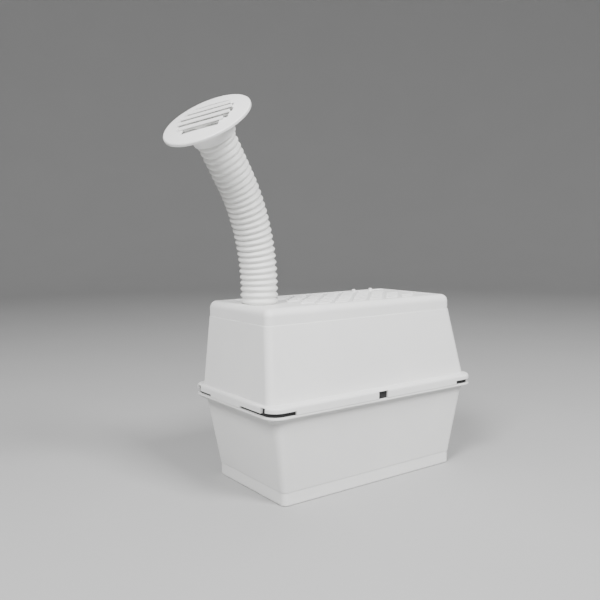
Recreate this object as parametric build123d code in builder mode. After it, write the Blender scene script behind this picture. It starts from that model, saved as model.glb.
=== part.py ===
"""Vented battery box: tray, sealed lid, corrugated vent hose and a louvred vent head."""

from build123d import *
from math import cos, radians, sin
import os

os.makedirs("parts", exist_ok=True)

# Tray: a drafted tub with an outward rim
tray_band_x = 333.0
tray_band_y = 181.0
tray_band_z = 20.0
tray_step = 0.5
tray_inside_x = 326.4
tray_inside_y = 174.3
tray_neck_x = 373.8
tray_neck_y = 206.8
tray_wall = 3.0
tray_floor = 3.5
tray_foot_fillet = 2.5
tray_corner = 9.0
rim_x = 400.0
rim_y = 224.6
rim_corner = 22.0
rim_under = 132.0
rim_top = 134.8
web_x = 186.0
web_y = 94.0
web_run = 10.5
web_drop = 9.5
web_thick = 3.0

# Seal: a square rubber ring between the two rims, let into the lid
seal_inset = 4.3
seal_width = 5.0
groove_slack = 0.3
groove_top = 145.6

# Lid: a tall cover whose far end slopes more than its hose end
skirt_bottom = 135.3
skirt_thick = 3.5
lid_rim_under = 141.0
lid_rim_top = 148.8
rim_round = 4.2
lid_foot_x = 388.0
lid_foot_y = 192.0
lid_foot_shift = 1.0
lid_band_x = 359.0
lid_band_y = 168.4
lid_band_shift = -7.5
lid_band_z = 255.4
band_step = 0.8
lid_top = 279.0
lid_wall = 3.0
lid_roof = 4.2
lid_corner = 11.0
lid_edge = 11.0
skirt_long = 316.0
skirt_end_near = 30.0
skirt_end_far = 54.0
window_width = 18.0
window_top = 146.4
notch_y = 90.5
notch_width = 10.0
notch_top = 147.0
end_skirt_bottom = 138.8
end_skirt_short = 190.0
panel_border = 14.0
panel_depth = 1.6
panel_floor = 277.4
pad_shift = 18.0
pad_pitch_x = 34.0
pad_pitch_y = 36.0
pad_length = 25.0
pad_width = 6.5
boss_r = 4.0
boss_height = 3.4

# Hose: a 50 mm corrugated duct on a spigot moulded in the lid
hose_x = -145.0
hose_ridge_r = 27.5
hose_root_r = 24.4
hose_cuff_r = 26.0
hose_cuff = 18.0
hose_bore_r = 22.9
hose_rise = 21.5
hose_bend_r = 259.7
hose_tail = 87.5
hose_heading = 201.0
vent_tilt = 37.5
ridge_count = 28
ridge_pitch = 9.2
ridge_width = 4.6
spigot_r = 22.5
spigot_bore_r = 20.5
spigot_rise = 16.0

# Vent head: a mounting flange with a collar, and a louvred cover over it
shoulder = 3.0
flange_r = 59.6
flange_thick = 2.5
collar_root_r = 37.5
collar_r = 32.0
collar_tip_r = 30.3
collar_bore_r = 26.3
collar_reach = 23.5
throat_r = 22.9
screw_circle_r = 50.0
screw_hole_r = 2.3
screw_sink_r = 3.9
cover_r = 62.5
cover_skirt_in_r = 60.2
cover_wall = 2.2
crown_height = 8.2
louvre_turn = 18.3
slot_pitch = 14.7
slot_width = 11.4
slot_circle_r = 40.0
slot_count = 5
blade_rise = 2.4

# The tray is a drafted tub, rounded all round the foot
with BuildPart() as tray_cavity:
    with BuildSketch(Plane.XY.offset(tray_floor)):
        RectangleRounded(tray_inside_x, tray_inside_y, tray_corner - 2)
    with BuildSketch(Plane.XY.offset(rim_top + 1)):
        RectangleRounded(tray_neck_x - 2 * tray_wall, tray_neck_y - 2 * tray_wall, tray_corner + 1)
    loft()
    fillet(tray_cavity.edges().group_by(Axis.Z)[0], 5)

with BuildPart() as base_tray:
    # Upright foot band, then the drafted wall above a small step
    with BuildSketch(Plane.XY):
        RectangleRounded(tray_band_x, tray_band_y, tray_corner)
    extrude(amount=tray_band_z)
    fillet(base_tray.edges().group_by(Axis.Z)[0], tray_foot_fillet)
    with BuildSketch(Plane.XY.offset(tray_band_z)):
        RectangleRounded(tray_band_x + 2 * tray_step, tray_band_y + 2 * tray_step, tray_corner)
    with BuildSketch(Plane.XY.offset(rim_top)):
        RectangleRounded(tray_neck_x, tray_neck_y, tray_corner + 4)
    loft()
    with BuildSketch(Plane.XY.offset(rim_under)):
        RectangleRounded(rim_x, rim_y, rim_corner)
    extrude(amount=rim_top - rim_under)
    fillet(base_tray.faces().sort_by(Axis.Z)[-1].outer_wire().edges(), 0.8)
    # Small webs under the rim, on the ends near each corner
    for side_x in (-1, 1):
        for side_y in (-1, 1):
            web_plane = Plane(
                origin=(side_x * web_x, side_y * web_y, rim_under),
                x_dir=(side_x, 0, 0),
                z_dir=(0, -side_x, 0),
            )
            with BuildSketch(web_plane):
                Polygon((-3, 0.5), (web_run, 0.5), (web_run, -3), (-1, -web_drop), (-3, -web_drop), align=None)
            extrude(amount=web_thick / 2, both=True)
    add(tray_cavity.part, mode=Mode.SUBTRACT)
base_tray.part.label = "base_tray"

# The seal is a plain square ring
with BuildPart() as rim_seal:
    with BuildSketch(Plane.XY.offset(rim_top)):
        RectangleRounded(rim_x - 2 * seal_inset, rim_y - 2 * seal_inset, rim_corner - seal_inset)
        RectangleRounded(
            rim_x - 2 * seal_inset - 2 * seal_width,
            rim_y - 2 * seal_inset - 2 * seal_width,
            rim_corner - seal_inset - seal_width,
            mode=Mode.SUBTRACT,
        )
    extrude(amount=groove_top - rim_top)
rim_seal.part.label = "rim_seal"

# Inside of the lid, open downwards
lid_inside_x = lid_band_x - 2 * lid_wall - 2 * band_step
lid_inside_y = lid_band_y - 2 * lid_wall - 2 * band_step
with BuildPart() as lid_cavity:
    with BuildSketch(Plane.XY.offset(lid_rim_under - 1)):
        with Locations((lid_foot_shift, 0)):
            RectangleRounded(lid_foot_x - 2 * lid_wall, lid_foot_y - 2 * lid_wall, lid_corner - 3)
    with BuildSketch(Plane.XY.offset(lid_band_z - lid_wall)):
        with Locations((lid_band_shift, 0)):
            RectangleRounded(lid_inside_x, lid_inside_y, lid_corner - 3)
    loft()
    with BuildSketch(Plane.XY.offset(lid_band_z - lid_wall)):
        with Locations((lid_band_shift, 0)):
            RectangleRounded(lid_inside_x, lid_inside_y, lid_corner - 3)
    extrude(amount=lid_top - lid_roof - lid_band_z + lid_wall)
    fillet(lid_cavity.edges().group_by(Axis.Z)[-1], 7)

with BuildPart() as lid_cover:
    # Drafted walls up to the step, then an upright band, slightly narrower
    with BuildSketch(Plane.XY.offset(lid_rim_top - 2)):
        with Locations((lid_foot_shift, 0)):
            RectangleRounded(lid_foot_x, lid_foot_y, lid_corner)
    with BuildSketch(Plane.XY.offset(lid_band_z)):
        with Locations((lid_band_shift, 0)):
            RectangleRounded(lid_band_x, lid_band_y, lid_corner)
    loft()
    with BuildSketch(Plane.XY.offset(lid_band_z)):
        with Locations((lid_band_shift, 0)):
            RectangleRounded(
                lid_band_x - 2 * band_step, lid_band_y - 2 * band_step, lid_corner - band_step
            )
    extrude(amount=lid_top - lid_band_z)
    fillet(lid_cover.edges().group_by(Axis.Z)[-1], lid_edge)
    # Rim and its down-turned skirt, which stops short of every corner
    with BuildSketch(Plane.XY.offset(lid_rim_under)):
        RectangleRounded(rim_x, rim_y, rim_corner)
    extrude(amount=lid_rim_top - lid_rim_under)
    fillet(
        lid_cover.edges().filter_by_position(Axis.Z, lid_rim_top - 0.01, lid_rim_top + 0.01)
        .filter_by(lambda e: abs(e.center().X) > 197.5 or abs(e.center().Y) > 108), rim_round
    )
    with BuildSketch(Plane.XY.offset(skirt_bottom)):
        RectangleRounded(rim_x, rim_y, rim_corner)
        RectangleRounded(
            rim_x - 2 * skirt_thick,
            rim_y - 2 * skirt_thick,
            rim_corner - skirt_thick,
            mode=Mode.SUBTRACT,
        )
        for turn in (1, -1):
            with Locations((-turn * (skirt_long + 80) / 2, -turn * (skirt_end_near + 50))):
                Rectangle(80, 100, mode=Mode.SUBTRACT)
            with Locations((-turn * (skirt_long + 80) / 2, turn * (skirt_end_far + 50))):
                Rectangle(80, 100, mode=Mode.SUBTRACT)
    extrude(amount=lid_rim_under - skirt_bottom)
    # On the ends a lower part of the skirt runs on nearly to the corners
    with BuildSketch(Plane.XY.offset(end_skirt_bottom)):
        with GridLocations(rim_x - skirt_thick, 0, 2, 1):
            Rectangle(skirt_thick, end_skirt_short)
    extrude(amount=lid_rim_under - end_skirt_bottom)
    # Groove that holds the seal
    with BuildSketch(Plane.XY.offset(lid_rim_under)):
        RectangleRounded(
            rim_x - 2 * seal_inset + 2 * groove_slack,
            rim_y - 2 * seal_inset + 2 * groove_slack,
            rim_corner - seal_inset + groove_slack,
        )
        RectangleRounded(
            rim_x - 2 * seal_inset - 2 * seal_width - 2 * groove_slack,
            rim_y - 2 * seal_inset - 2 * seal_width - 2 * groove_slack,
            rim_corner - seal_inset - seal_width - groove_slack,
            mode=Mode.SUBTRACT,
        )
    extrude(amount=groove_top - lid_rim_under, mode=Mode.SUBTRACT)
    add(lid_cavity.part, mode=Mode.SUBTRACT)
    # A window in the skirt at the middle of each long side, and a nick near each corner
    with BuildSketch(Plane.XY.offset(skirt_bottom - 1)):
        with GridLocations(0, rim_y - seal_inset, 1, 2):
            Rectangle(window_width, seal_inset)
    extrude(amount=window_top - skirt_bottom + 1, mode=Mode.SUBTRACT)
    with BuildSketch(Plane.XY.offset(end_skirt_bottom)):
        with GridLocations(rim_x - seal_inset, 2 * notch_y, 2, 2):
            Rectangle(seal_inset + 1, notch_width)
    extrude(amount=notch_top - end_skirt_bottom, mode=Mode.SUBTRACT)
    # Recessed top with staggered tread pads, and two small bosses at the back
    with BuildSketch(Plane.XY.offset(panel_floor)):
        with Locations((lid_band_shift, 0)):
            RectangleRounded(lid_band_x - 2 * panel_border, lid_band_y - 2 * panel_border, 9)
    extrude(amount=panel_depth + 1, mode=Mode.SUBTRACT)
    with BuildSketch(Plane.XY.offset(panel_floor)):
        with Locations((pad_shift, 0)):
            with GridLocations(pad_pitch_x, pad_pitch_y, 7, 3):
                SlotOverall(pad_length, pad_width)
            with GridLocations(pad_pitch_x, pad_pitch_y, 6, 4):
                SlotOverall(pad_length, pad_width)
    extrude(amount=panel_depth + 0.5)
    with BuildSketch(Plane.XY.offset(panel_floor)):
        with Locations((88, 62), (126, 62)):
            Circle(boss_r)
    extrude(amount=panel_depth + boss_height, taper=15)
    # Spigot for the hose, open into the lid
    with BuildSketch(Plane.XY.offset(panel_floor)):
        with Locations((hose_x, 0)):
            Circle(spigot_r)
    extrude(amount=spigot_rise)
    with BuildSketch(Plane.XY.offset(lid_top - 10)):
        with Locations((hose_x, 0)):
            Circle(spigot_bore_r)
    extrude(amount=spigot_rise + 10, mode=Mode.SUBTRACT)
lid_cover.part.label = "lid_cover"

# Centre line of the hose: straight up, one wide bend, straight into the vent collar
out_dir = Vector(cos(radians(hose_heading)), sin(radians(hose_heading)), 0)
side_dir = Vector(-sin(radians(hose_heading)), cos(radians(hose_heading)), 0)
vent_dir = out_dir * sin(radians(vent_tilt)) + Vector(0, 0, 1) * cos(radians(vent_tilt))
bend_plane = Plane(origin=(hose_x, 0, panel_floor), x_dir=out_dir, z_dir=-side_dir)
with BuildLine(bend_plane) as hose_line:
    Line((0, 0), (0, hose_rise))
    CenterArc((hose_bend_r, hose_rise), hose_bend_r, 180, -vent_tilt)
    PolarLine(hose_line.vertices().sort_by(Axis.Z)[-1], hose_tail, direction=vent_dir)
hose_wire = hose_line.wires()[0]

with BuildPart() as vent_hose:
    with BuildSketch(Plane.XY.offset(panel_floor).move(Location((hose_x, 0, 0)))):
        Circle(hose_root_r)
        Circle(hose_bore_r, mode=Mode.SUBTRACT)
    sweep(path=hose_wire)
    for ridge in range(ridge_count):
        along = (ridge_pitch * ridge + ridge_pitch / 2) / hose_wire.length
        with BuildSketch(Plane(origin=hose_wire @ along, z_dir=hose_wire % along)):
            Circle(hose_ridge_r)
            Circle(hose_root_r - 0.6, mode=Mode.SUBTRACT)
        extrude(amount=ridge_width / 2, both=True)
    # Plain cuff that pushes into the vent collar
    with BuildSketch(Plane(origin=hose_wire @ 1, z_dir=-vent_dir)):
        Circle(hose_cuff_r)
        Circle(hose_root_r - 0.6, mode=Mode.SUBTRACT)
    extrude(amount=hose_cuff)
vent_hose.part.label = "vent_hose"

# The vent head stands square on the end of the hose
vent_seat = hose_wire @ 1 + vent_dir * shoulder
cross_dir = vent_dir.cross(side_dir)
louvre_dir = side_dir * cos(radians(louvre_turn)) + cross_dir * sin(radians(louvre_turn))
vent_plane = Plane(origin=vent_seat, x_dir=louvre_dir, z_dir=vent_dir)

spin_plane = Plane(origin=vent_seat, x_dir=side_dir, z_dir=side_dir.cross(vent_dir))
with BuildPart() as vent_flange:
    with BuildSketch(spin_plane):
        with BuildLine():
            Polyline((throat_r, -shoulder), (throat_r, flange_thick), (flange_r, flange_thick))
            Polyline((flange_r, flange_thick), (flange_r, 0), (collar_root_r, 0))
            ThreePointArc((collar_root_r, 0), (collar_r + 1.5, -2.2), (collar_r, -6.5))
            Polyline((collar_r, -6.5), (collar_tip_r, -collar_reach), (collar_bore_r, -collar_reach))
            Polyline((collar_bore_r, -collar_reach), (collar_bore_r, -shoulder), (throat_r, -shoulder))
        make_face()
    revolve(axis=Axis(vent_seat, vent_dir))
    with Locations(vent_plane.offset(flange_thick)):
        with PolarLocations(screw_circle_r, 4, start_angle=45):
            CounterSinkHole(screw_hole_r, screw_sink_r, depth=flange_thick + 1)
vent_flange.part.label = "vent_flange"

# Louvred cover: a shallow dome that snaps over the flange and hides its screws
with BuildPart() as vent_cover:
    with BuildSketch(spin_plane):
        with BuildLine():
            Polyline(
                (0, crown_height - cover_wall),
                (0, crown_height),
            )
            ThreePointArc((0, crown_height), (31, crown_height - 0.92), (61.2, 4.5))
            Polyline(
                (61.2, 4.5), (cover_r, 3.2), (cover_r, 0.3), (cover_skirt_in_r, 0.3), (cover_skirt_in_r, 2.8)
            )
            ThreePointArc((cover_skirt_in_r, 2.8), (31, 5.1), (0, crown_height - cover_wall))
        make_face()
    revolve(axis=Axis(vent_seat, vent_dir))
    for slot in range(slot_count):
        slot_y = (slot - (slot_count - 1) / 2) * slot_pitch
        chord = 2 * (slot_circle_r**2 - slot_y**2) ** 0.5
        with BuildSketch(vent_plane.offset(3)):
            with Locations((0, slot_y)):
                RectangleRounded(chord, slot_width, 1.6)
        extrude(amount=crown_height, mode=Mode.SUBTRACT)
    # Each bar is a thin blade that rises away from the slot in front of it
    blade_plane = Plane(origin=vent_seat, x_dir=vent_plane.y_dir, z_dir=vent_plane.x_dir)
    for blade in range(slot_count - 1):
        bar_y = (blade - (slot_count - 2) / 2) * slot_pitch
        chord = 2 * (slot_circle_r**2 - bar_y**2) ** 0.5
        half = (slot_pitch - slot_width) / 2
        face = crown_height - bar_y**2 / 1012
        with BuildSketch(blade_plane):
            Polygon(
                (bar_y - half - 0.1, face - cover_wall - 1.5),
                (bar_y - half - 0.1, face - 0.7),
                (bar_y + 0.4, face - cover_wall - 1.5),
                align=None,
            )
        extrude(amount=chord / 2 - 2, both=True, mode=Mode.SUBTRACT)
        with BuildSketch(blade_plane):
            Polygon(
                (bar_y - half, face - 0.6),
                (bar_y - half, face - 0.1),
                (bar_y + 0.6, face + blade_rise),
                (bar_y + half, face + blade_rise),
                (bar_y + half, face - 1),
                align=None,
            )
        extrude(amount=chord / 2 - 1, both=True)
vent_cover.part.label = "vent_cover"

for piece in (base_tray, rim_seal, lid_cover, vent_hose, vent_flange, vent_cover):
    export_step(piece.part, f"parts/{piece.part.label}.step")
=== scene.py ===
import math

import bmesh
import bpy
from mathutils import Matrix, Vector


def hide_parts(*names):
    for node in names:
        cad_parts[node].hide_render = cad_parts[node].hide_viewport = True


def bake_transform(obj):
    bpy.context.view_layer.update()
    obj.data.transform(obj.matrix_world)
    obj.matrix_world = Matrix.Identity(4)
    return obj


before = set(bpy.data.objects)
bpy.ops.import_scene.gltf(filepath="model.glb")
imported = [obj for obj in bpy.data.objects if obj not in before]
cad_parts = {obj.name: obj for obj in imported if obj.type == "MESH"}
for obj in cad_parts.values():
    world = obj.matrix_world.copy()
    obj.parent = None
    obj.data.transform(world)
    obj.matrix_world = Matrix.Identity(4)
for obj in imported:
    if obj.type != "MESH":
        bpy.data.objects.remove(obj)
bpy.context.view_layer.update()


# Battery tray: one injection-moulded white polypropylene tub with a flat rim turned
# outwards. Its drafted walls have a faint pebble from the mould and show soft
# sink marks where the plastic cooled over thicker places.


edge_softness = 0.0007
polymer_index = 1.49
glow_share = 0.12
glow_depth = 0.004
grey_glow = (1.0, 1.0, 1.0)
scuff_grey = (0.62, 0.62, 0.60, 1.0)


class Shade:
    """One number or colour that varies over a surface. Arithmetic adds Math nodes."""

    def __init__(self, finish, socket):
        self.finish = finish
        self.socket = socket

    def combine(self, how, first, second):
        return self.finish.part("ShaderNodeMath", {"operation": how}, {0: first, 1: second})

    def __add__(self, other):
        return self.combine("ADD", self, other)

    def __radd__(self, other):
        return self.combine("ADD", other, self)

    def __sub__(self, other):
        return self.combine("SUBTRACT", self, other)

    def __rsub__(self, other):
        return self.combine("SUBTRACT", other, self)

    def __mul__(self, other):
        return self.combine("MULTIPLY", self, other)

    def __rmul__(self, other):
        return self.combine("MULTIPLY", other, self)


class Finish:
    """A procedural finish: a Principled shader and the nodes that feed it."""

    def __init__(self, name, **flat):
        self.material = bpy.data.materials.new(name)
        self.material.use_nodes = True
        self.tree = self.material.node_tree
        self.shader = self.tree.nodes["Principled BSDF"]
        for socket, value in flat.items():
            self.shader.inputs[socket.replace("_", " ")].default_value = value
        self.place = self.part("ShaderNodeTexCoord", {}, {}, "Object")

    def part(self, kind, settings, inputs, output=0):
        """Adds one node: its settings first, then values or links for its sockets."""
        node = self.tree.nodes.new(kind)
        for name, value in settings.items():
            if name == "stops":
                while len(node.color_ramp.elements) < len(value):
                    node.color_ramp.elements.new(0.5)
                for stop, (where, colour) in zip(node.color_ramp.elements, value):
                    stop.position = where
                    stop.color = colour
            else:
                setattr(node, name, value)
        for socket, value in inputs.items():
            if isinstance(value, Shade):
                self.tree.links.new(value.socket, node.inputs[socket])
            else:
                node.inputs[socket].default_value = value
        return Shade(self, node.outputs[output])

    def noise(self, scale, detail=3.0, rough=0.5, stretch=(1.0, 1.0, 1.0)):
        """Cloudy noise in the object's own metres, stretched along X, Y or Z."""
        stretched = self.part("ShaderNodeMapping", {}, {"Vector": self.place, "Scale": stretch})
        sizes = {"Vector": stretched, "Scale": scale, "Detail": detail, "Roughness": rough}
        return self.part("ShaderNodeTexNoise", {}, sizes, "Fac")

    def ramp(self, shade, *stops):
        """Maps a 0 to 1 shade through grey stops, each (position, value)."""
        grey = [(where, (value, value, value, 1.0)) for where, value in stops]
        return self.part("ShaderNodeValToRGB", {"stops": grey}, {"Fac": shade}, "Color")

    def blend(self, share, first, second):
        """Mixes two colours by a share."""
        return self.part(
            "ShaderNodeMix", {"data_type": "RGBA"}, {0: share, 6: first, 7: second}, 2
        )

    def bumps(self, *layers):
        """Stacks bump layers, each (shade, strength, depth in metres), over softened edges."""
        normal = self.part("ShaderNodeBevel", {"samples": 6}, {"Radius": edge_softness})
        for shade, strength, depth in layers:
            normal = self.part(
                "ShaderNodeBump",
                {},
                {"Strength": strength, "Distance": depth, "Height": shade, "Normal": normal},
            )
        return normal

    def wear(self, colour=None, roughness=None, normal=None):
        """Plugs what varies over the surface into the shader."""
        varied = {"Base Color": colour, "Roughness": roughness, "Normal": normal}
        for socket, shade in varied.items():
            if shade is not None:
                self.tree.links.new(shade.socket, self.shader.inputs[socket])

    def glow(self):
        """Lets a little light spread under the surface, the same amount in every colour."""
        self.shader.inputs["Subsurface Weight"].default_value = glow_share
        self.shader.inputs["Subsurface Scale"].default_value = glow_depth
        self.shader.inputs["Subsurface Radius"].default_value = grey_glow

    def coat(self, *nodes):
        """Puts this finish on CAD pieces by name."""
        for name in nodes:
            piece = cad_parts[name]
            piece.data.materials.clear()
            piece.data.materials.append(self.material)


def moulded_white(name, light, shadow, gloss):
    """White moulded plastic: pebble, sink marks, flow streaks and light handling scuffs."""
    finish = Finish(name, IOR=polymer_index)
    finish.glow()
    clouds = finish.noise(7.0, 4.0)
    streaks = finish.noise(26.0, 5.0, 0.6, (1.0, 1.0, 0.12))
    pebble = finish.noise(900.0, 2.0, 0.6)
    rubs = finish.noise(60.0, 6.0, 0.75, (0.5, 0.5, 3.0))
    scuffs = finish.ramp(rubs, (0.62, 0.0), (0.74, 1.0))
    tint = finish.blend(finish.ramp(clouds, (0.3, 0.0), (0.7, 1.0)), shadow, light)
    tint = finish.blend(streaks * 0.12, tint, light)
    finish.tint = finish.blend(scuffs * 0.10, tint, scuff_grey)
    finish.wear(
        finish.tint,
        gloss + clouds * 0.10 + pebble * 0.06 + scuffs * 0.12,
        finish.bumps((clouds, 0.25, 0.0006), (streaks, 0.10, 0.0003), (pebble, 0.22, 0.00012)),
    )
    return finish


# Both tray whites are set greyer than the lid's. That greying is painted shade for the shadow
# under the lid's rim on the tray's walls.
tray_light_painted_shade = (0.77, 0.77, 0.76, 1.0)
tray_shadow_painted_shade = (0.72, 0.72, 0.71, 1.0)
moulded_white("tray_plastic", tray_light_painted_shade, tray_shadow_painted_shade, 0.36).coat("base_tray")


# Rim seal: a square ring of black rubber that sits in a groove under the lid's rim
# and closes on the tray's rim. It shows only at the open corners and windows.
rubber_black = (0.012, 0.012, 0.013, 1.0)
rubber_bloom = (0.04, 0.04, 0.042, 1.0)
seal = Finish("seal_rubber", IOR=1.5)
grain = seal.noise(1400.0, 3.0, 0.7)
bloom = seal.noise(45.0, 5.0, 0.6)
seal.wear(
    seal.blend(seal.ramp(bloom, (0.45, 0.0), (0.8, 1.0)), rubber_black, rubber_bloom),
    0.62 + bloom * 0.2,
    seal.bumps((grain, 0.4, 0.0001)),
)
seal.coat("rim_seal")


# Lid: a deep white polypropylene cover from the same kind of mould as the tray. Its
# skirt hangs outside the seal, and the spigot for the hose is moulded in its top.
lid_light = (0.82, 0.82, 0.81, 1.0)
lid_shadow = (0.77, 0.77, 0.765, 1.0)
moulded_white("lid_plastic", lid_light, lid_shadow, 0.34).coat("lid_cover")


# Vent hose: blow-moulded polyethylene with close rounded ridges, so that it bends and
# stays bent. It pushes over the lid's spigot, and its plain cuff goes into the vent.
hose_foot = Vector((-0.145, 0.0, 0.2774))
hose_heading = math.radians(201.0)
hose_rise = 0.0215
hose_bend = 0.2597
hose_lean = math.radians(37.5)
hose_tail = 0.0875
ridge_pitch = 0.0092
ridge_count = 28
ridge_radius = 0.0275
root_radius = 0.0243
cuff_radius = 0.0259
hose_wall = 0.0014
cuff_step = 0.0022
crest_fullness = 0.72
hose_sides = 72
rings_per_ridge = 14
step_rings = 4
step_ring_gap = 0.0006
cuff_rings = 10
held_end = 0.016
hose_white = (0.83, 0.83, 0.81, 1.0)
hose_shadow = (0.76, 0.76, 0.74, 1.0)
hose_length = hose_rise + hose_bend * hose_lean + hose_tail
ridged_length = ridge_count * ridge_pitch
outwards = Vector((math.cos(hose_heading), math.sin(hose_heading), 0.0))
sideways = Vector((-math.sin(hose_heading), math.cos(hose_heading), 0.0))


def hose_station(along):
    """Centre and direction of the hose at a distance along it."""
    turned = min(max(along - hose_rise, 0.0) / hose_bend, hose_lean)
    straight = max(along - hose_rise - hose_bend * hose_lean, 0.0)
    across = hose_bend * (1 - math.cos(turned)) + straight * math.sin(turned)
    up = min(along, hose_rise) + hose_bend * math.sin(turned) + straight * math.cos(turned)
    centre = hose_foot + outwards * across + Vector((0, 0, up))
    return centre, outwards * math.sin(turned) + Vector((0, 0, math.cos(turned)))


def ridge_height(along):
    """Outer radius of the hose: rounded crests with narrow roots, then the plain cuff."""
    if along > ridged_length:
        step = min((along - ridged_length) / cuff_step, 1.0)
        return root_radius + (cuff_radius - root_radius) * step
    wave = 0.5 - 0.5 * math.cos(2 * math.pi * along / ridge_pitch)
    return root_radius + (ridge_radius - root_radius) * wave**crest_fullness


def hose_ring(mesh, along, radius):
    """One ring of points round the hose."""
    centre, axis = hose_station(along)
    lean = axis.cross(sideways)
    turns = [2 * math.pi * k / hose_sides for k in range(hose_sides)]
    return [
        mesh.verts.new(centre + (sideways * math.cos(t) + lean * math.sin(t)) * radius)
        for t in turns
    ]


def bridge(mesh, first, second):
    """Joins two rings with a band of faces."""
    for k in range(len(first)):
        mesh.faces.new((first[k - 1], first[k], second[k], second[k - 1]))


hose_mesh = bmesh.new()
steps = [ridge_pitch * k / rings_per_ridge for k in range(ridge_count * rings_per_ridge + 1)]
steps += [steps[-1] + step_ring_gap * k for k in range(1, step_rings + 1)]
cuff_start = steps[-1]
cuff_length = hose_length - cuff_start
steps += [cuff_start + cuff_length * k / cuff_rings for k in range(1, cuff_rings + 1)]
skins = [hose_ring(hose_mesh, s, ridge_height(s)) for s in steps]
bores = [hose_ring(hose_mesh, s, ridge_height(s) - hose_wall) for s in steps]
for k in range(len(steps) - 1):
    bridge(hose_mesh, skins[k], skins[k + 1])
    bridge(hose_mesh, bores[k + 1], bores[k])
bridge(hose_mesh, bores[0], skins[0])
bridge(hose_mesh, skins[-1], bores[-1])
bmesh.ops.recalc_face_normals(hose_mesh, faces=hose_mesh.faces)
hose_data = bpy.data.meshes.new("hose")
hose_mesh.to_mesh(hose_data)
hose_mesh.free()
hose_data.shade_smooth()
hose = bpy.data.objects.new("hose", hose_data)
bpy.context.collection.objects.link(hose)

duct = Finish("hose_plastic", IOR=1.51)
duct.glow()
clouds = duct.noise(14.0, 4.0)
fine = duct.noise(700.0, 3.0, 0.6)
duct.wear(
    duct.blend(duct.ramp(clouds, (0.3, 0.0), (0.7, 1.0)), hose_shadow, hose_white),
    0.36 + clouds * 0.12 + fine * 0.06,
    duct.bumps((clouds, 0.2, 0.0005), (fine, 0.2, 0.0001)),
)
hose_data.materials.append(duct.material)
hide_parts("vent_hose")
blend_start = tuple(hose_station(held_end)[0])
blend_end = tuple(hose_station(hose_length - held_end)[0])
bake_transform(hose)


# Vent flange and its louvred cover: two ABS mouldings. The flange takes four screws
# and the hose; the cover clips over it, and its raised blades shed rain off the slots.
# Painted shade greys the flange's face under the slots, and its throat.
vent_light = (0.84, 0.84, 0.83, 1.0)
vent_shadow = (0.80, 0.80, 0.79, 1.0)
# Grey for the painted shade inside the vent.
painted_shade_grey = (0.26, 0.26, 0.25, 1.0)
seat_past_hose = 0.003
vent_plastic = moulded_white("vent_plastic", vent_light, vent_shadow, 0.28)
vent_end, vent_axis = hose_station(hose_length)
vent_seat = vent_end + vent_axis * seat_past_hose


def vent_vector(how, first, second, output=0):
    """Vector arithmetic on places in the vent."""
    operands = {0: first, 1: second}
    return vent_plastic.part("ShaderNodeVectorMath", {"operation": how}, operands, output)


def vent_fade(distance, none, full):
    """A 0 to 1 share of painted shade that goes from none at one distance to full at another.
    """
    limits = {"Value": distance, "From Min": none, "From Max": full}
    return vent_plastic.part("ShaderNodeMapRange", {}, limits)


from_seat = vent_vector("SUBTRACT", vent_plastic.place, vent_seat)
above_seat = vent_vector("DOT_PRODUCT", from_seat, vent_axis, "Value")
off_axis = vent_vector("CROSS_PRODUCT", from_seat, vent_axis)
from_axis = vent_plastic.part(
    "ShaderNodeVectorMath", {"operation": "LENGTH"}, {0: off_axis}, "Value"
)
under_slots = vent_fade(above_seat, 0.0032, 0.0026)
clear_of_collar = vent_fade(above_seat, 0.0006, 0.0016)
within_slots = vent_fade(from_axis, 0.047, 0.043)
in_throat = vent_fade(from_axis, 0.0240, 0.0232)
painted_shade_mottle = vent_plastic.noise(220.0, 4.0, 0.6)
# Painted shade: grey laid under the slots and in the throat where shade falls, mottled a
# little.
painted_shade = under_slots * within_slots * (clear_of_collar + in_throat) * (0.7 + painted_shade_mottle * 0.3)
vent_plastic.wear(vent_plastic.blend(painted_shade, vent_plastic.tint, painted_shade_grey))
vent_plastic.coat("vent_flange", "vent_cover")


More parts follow.
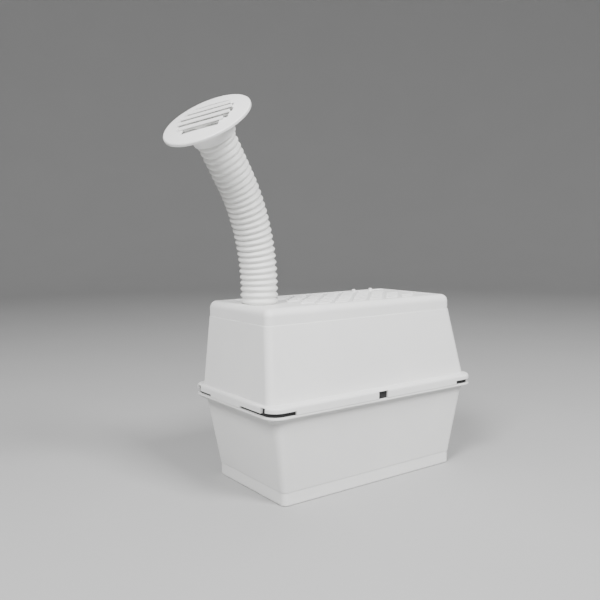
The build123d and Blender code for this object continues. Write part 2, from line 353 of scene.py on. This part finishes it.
# Floor, lights and camera: a pale matt floor that curves up into a plain surround, and
# soft lights overhead, at the front left and at the front right.
flat_radius = 3.5
sweep_radius = 2.5
wall_height = 5.0
floor_sides = 96
floor_dark = (0.40, 0.40, 0.40, 1.0)
floor_light = (0.42, 0.42, 0.42, 1.0)
floor_mesh = bpy.data.meshes.new("floor")
profile = [(0.8, 0.0), (2.0, 0.0)]
for angle in (math.radians(degrees) for degrees in range(0, 91, 6)):
    reach = flat_radius + sweep_radius * math.sin(angle)
    profile.append((reach, sweep_radius - sweep_radius * math.cos(angle)))
profile.append((flat_radius + sweep_radius, wall_height))
turns = [2 * math.pi * k / floor_sides for k in range(floor_sides)]
corners = [(r * math.cos(a), r * math.sin(a), z) for r, z in profile for a in turns]
panels = [list(range(floor_sides))]
for ring in range(len(profile) - 1):
    for k in range(floor_sides):
        here = ring * floor_sides + k
        after = ring * floor_sides + (k + 1) % floor_sides
        panels.append([here, here + floor_sides, after + floor_sides, after])
floor_mesh.from_pydata(corners, [], panels)
floor_mesh.shade_smooth()
floor = bpy.data.objects.new("floor", floor_mesh)
bpy.context.collection.objects.link(floor)
ground = Finish("floor_paint")
mottle = ground.noise(3.0, 3.0)
ground.wear(ground.blend(mottle, floor_dark, floor_light), 0.7 + mottle * 0.1)
floor_mesh.materials.append(ground.material)

world = bpy.data.worlds.new("studio")
world.use_nodes = True
sky = world.node_tree.nodes["Background"].inputs
sky["Color"].default_value = (0.80, 0.80, 0.80, 1.0)
sky["Strength"].default_value = 0.42
bpy.context.scene.world = world


def softbox(name, spot, aim, size, watts):
    """An area light at a spot, turned to an aim and kept out of the picture."""
    lamp = bpy.data.lights.new(name, "AREA")
    lamp.shape = "RECTANGLE"
    lamp.size, lamp.size_y = size
    lamp.energy = watts
    box = bpy.data.objects.new(name, lamp)
    box.location = spot
    box.rotation_euler = (Vector(aim) - Vector(spot)).to_track_quat("-Z", "Y").to_euler()
    box.visible_camera = False
    bpy.context.collection.objects.link(box)


softbox("overhead", (0.3, 0.4, 2.6), (0.0, 0.0, 0.2), (2.0, 2.0), 12.0)
softbox("front_left", (-1.8, -1.0, 2.1), (0.0, 0.0, 0.25), (0.9, 0.9), 100.0)
softbox("front_right", (0.3, -2.0, 2.1), (0.0, 0.0, 0.25), (0.9, 0.9), 105.0)

camera_data = bpy.data.cameras.new("camera")
camera_data.lens = 42.9
camera_data.sensor_width = 36.0
camera = bpy.data.objects.new("camera", camera_data)
right = Vector((0.81196784, -0.58364773, -0.00797194))
upward = Vector((0.06394709, 0.07537094, 0.99510301))
away = right.cross(upward)
camera.matrix_world = Matrix.Translation((-0.7079, -0.8874, 0.3866)) @ Matrix(
    (right, upward, away)
).transposed().to_4x4()
bpy.context.collection.objects.link(camera)
bpy.context.scene.camera = camera
